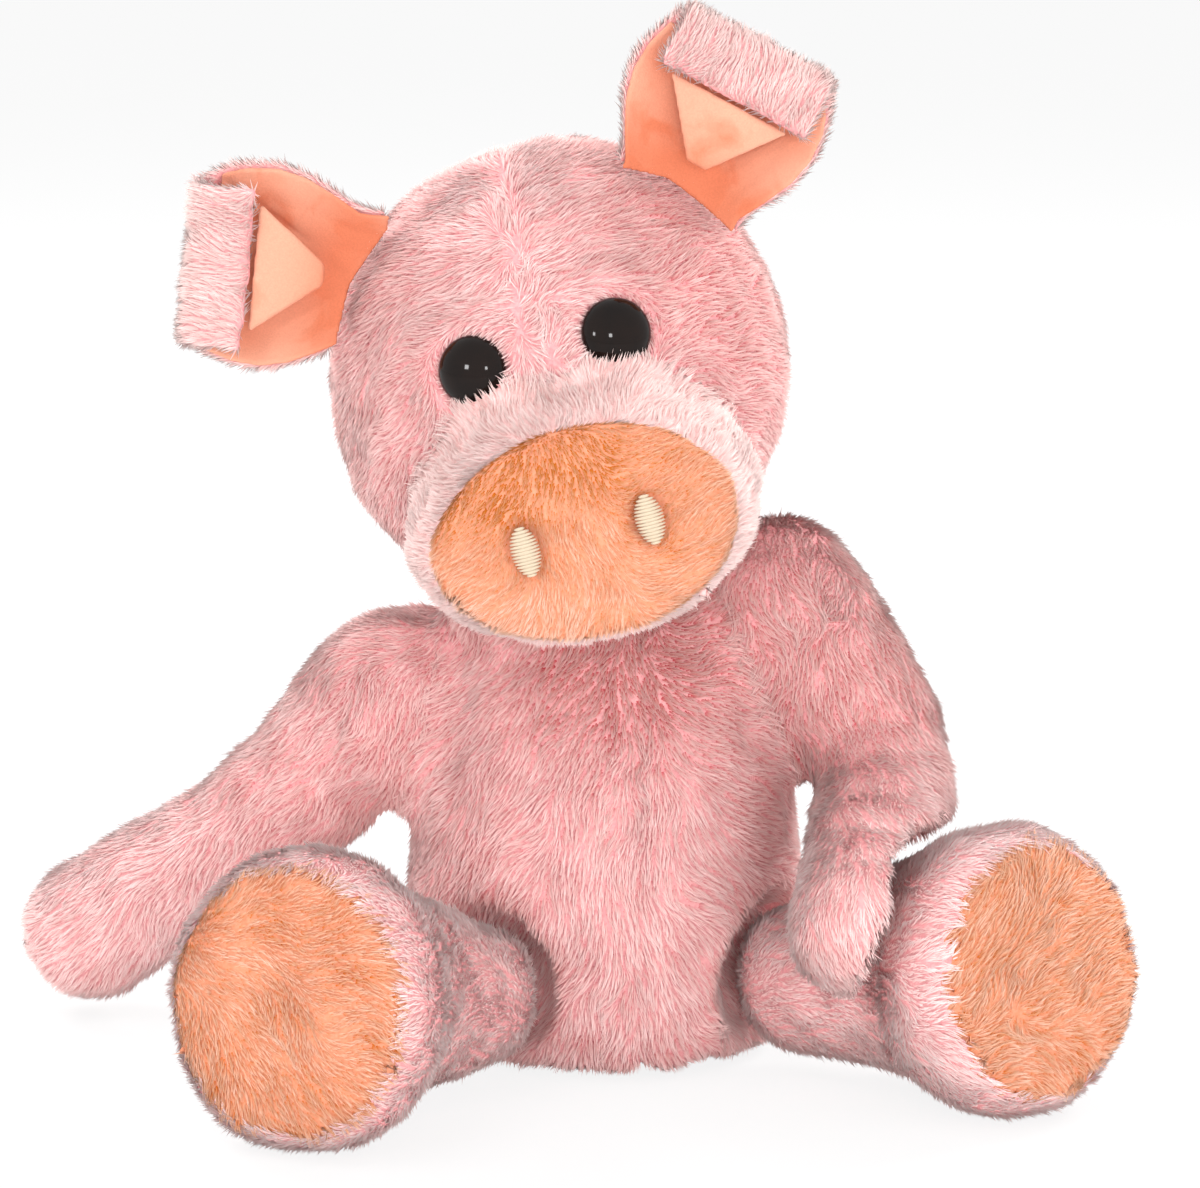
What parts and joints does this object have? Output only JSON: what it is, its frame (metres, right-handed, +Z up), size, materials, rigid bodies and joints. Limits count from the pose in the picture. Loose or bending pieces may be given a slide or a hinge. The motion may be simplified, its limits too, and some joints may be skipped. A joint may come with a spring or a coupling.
{
  "type": "plush pig",
  "caption": "Seated plush pig with a rolled head, splayed legs and folded ears; the head, limbs, ears and tail move.",
  "frame": {"origin": "centre of the flat under the seat, on the surface that the toy sits on", "axes": "+Z up, the pig faces -Y, and its right side is on -X"},
  "size_m": [0.2293, 0.1541, 0.2138],
  "materials": {
    "pink_plush": "dense polyester plush, pile 3 to 4 mm, in combed clumps",
    "pale_pink_plush": "the same plush in a paler pink, worn a little lighter",
    "peach_plush": "dense polyester plush, pile 2 to 3 mm",
    "velvet_lining": "short knitted velvet",
    "eye_plastic": "polished moulded plastic, black brown",
    "washer_nylon": "moulded nylon",
    "satin_stitch": "cream embroidery thread in satin stitch",
    "fibre_fill": "loose polyester fibre",
    "calico": "plain woven cotton round the pellets",
    "sewing_thread": "twisted polyester thread"
  },
  "bodies": {
    "torso": {"torso_cover": "pink_plush", "torso_stuffing": "fibre_fill", "pellet_bag": "calico", "closing_thread": "sewing_thread"},
    "tail": {"tail": "pink_plush"},
    "neck": {"neck_seam": "pink_plush"},
    "head": {"head_cover": "pink_plush", "head_stuffing": "fibre_fill", "muzzle_cover": "pale_pink_plush", "muzzle_stuffing": "fibre_fill", "snout_disc": "peach_plush", "nostril_right": "satin_stitch", "nostril_left": "satin_stitch", "eye_right": "eye_plastic", "eye_left": "eye_plastic", "eye_washer_right": "washer_nylon", "eye_washer_left": "washer_nylon"},
    "ear_right": {"ear_outer_right": "pink_plush", "ear_lining_right": "velvet_lining", "ear_tip_right": "velvet_lining"},
    "arm_right": {"arm_cover_right": "pink_plush", "arm_stuffing_right": "fibre_fill"},
    "leg_right": {"leg_cover_right": "pink_plush", "leg_stuffing_right": "fibre_fill", "sole_right": "peach_plush"},
    "ear_left": {"ear_outer_left": "pink_plush", "ear_lining_left": "velvet_lining", "ear_tip_left": "velvet_lining"},
    "arm_left": {"arm_cover_left": "pink_plush", "arm_stuffing_left": "fibre_fill"},
    "leg_left": {"leg_cover_left": "pink_plush", "leg_stuffing_left": "fibre_fill", "sole_left": "peach_plush"}
  },
  "joints": [
    {"name": "neck_turn", "type": "hinge", "parent": "torso", "child": "neck", "pos_m": [-0.009, -0.004, 0.139], "axis": [0, 0, 1], "range_deg": [-20, 20]},
    {"name": "head_nod", "type": "hinge", "parent": "neck", "child": "head", "pos_m": [-0.009, -0.004, 0.139], "axis": [0.9659, 0, 0.2588], "range_deg": [-15, 3.5]},
    {"name": "shoulder_right", "type": "hinge", "parent": "torso", "child": "arm_right", "pos_m": [-0.04532, 0.0022, 0.07], "axis": [0, 1, 0], "range_deg": [0, 40]},
    {"name": "shoulder_left", "type": "hinge", "parent": "torso", "child": "arm_left", "pos_m": [0.03821, -0.00186, 0.088], "axis": [-0.9397, -0.342, 0], "range_deg": [0, 35]},
    {"name": "hip_right", "type": "hinge", "parent": "torso", "child": "leg_right", "pos_m": [-0.02839, -0.03492, 0.019], "axis": [0, 0, -1], "range_deg": [-3, 15]},
    {"name": "hip_left", "type": "hinge", "parent": "torso", "child": "leg_left", "pos_m": [0.04069, -0.02177, 0.019], "axis": [0, 0, 1], "range_deg": [-3, 15]},
    {"name": "ear_right_flop", "type": "hinge", "parent": "head", "child": "ear_right", "pos_m": [-0.04905, -0.02, 0.1603], "axis": [0.1045, 0, 0.9945], "range_deg": [-18, 18], "stiffness_Nm_per_rad": 0.003},
    {"name": "ear_left_flop", "type": "hinge", "parent": "head", "child": "ear_left", "pos_m": [0.01504, -0.02, 0.17747], "axis": [0.8829, 0, -0.4695], "range_deg": [-18, 18], "stiffness_Nm_per_rad": 0.003},
    {"name": "tail_wag", "type": "hinge", "parent": "torso", "child": "tail", "pos_m": [0, 0.04056, 0.024], "axis": [0, 0, 1], "range_deg": [-25, 25], "stiffness_Nm_per_rad": 0.003}
  ]
}
